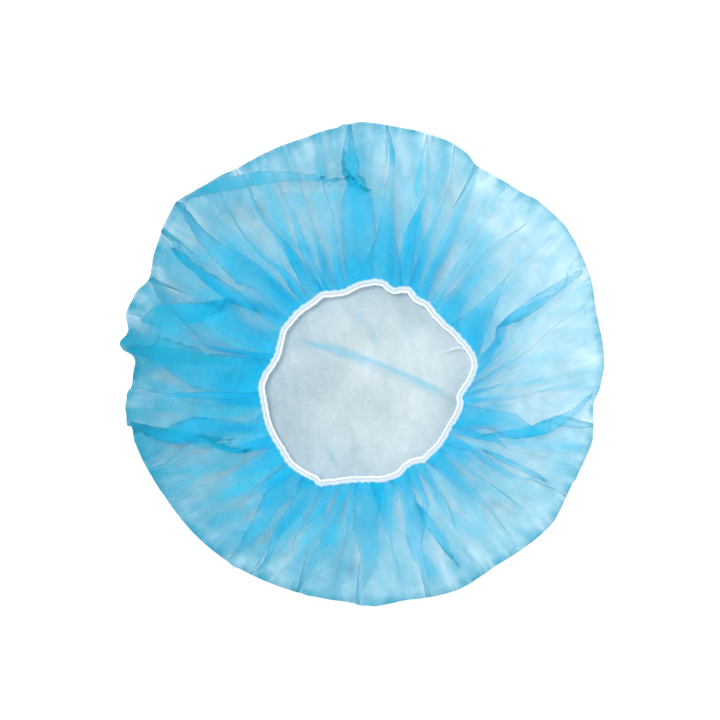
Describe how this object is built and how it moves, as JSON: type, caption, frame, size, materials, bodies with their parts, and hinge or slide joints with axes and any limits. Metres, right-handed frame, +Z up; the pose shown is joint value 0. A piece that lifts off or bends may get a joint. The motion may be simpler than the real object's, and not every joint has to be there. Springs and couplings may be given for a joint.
{
  "type": "disposable hairnet",
  "caption": "Round bouffant cap of thin light-blue nonwoven, lying on its crown with its elastic, overlocked mouth up and open.",
  "frame": {"origin": "on the floor, at the middle of the lying cap's outline", "axes": "+Z up, out of the open mouth; +X to the right and +Y to the top of the view from above"},
  "size_m": [0.3184, 0.3198, 0.0354],
  "materials": {
    "nonwoven_cloth": "thin translucent spunbond nonwoven, matte",
    "overlock_thread": "white polyester overlock stitches over the gathered edge",
    "covered_elastic": "white yarn-covered elastic, matte"
  },
  "bodies": {
    "root": {"crown": "nonwoven_cloth", "overlock_binding": "overlock_thread", "elastic_ring": "covered_elastic"}
  },
  "joints": []
}
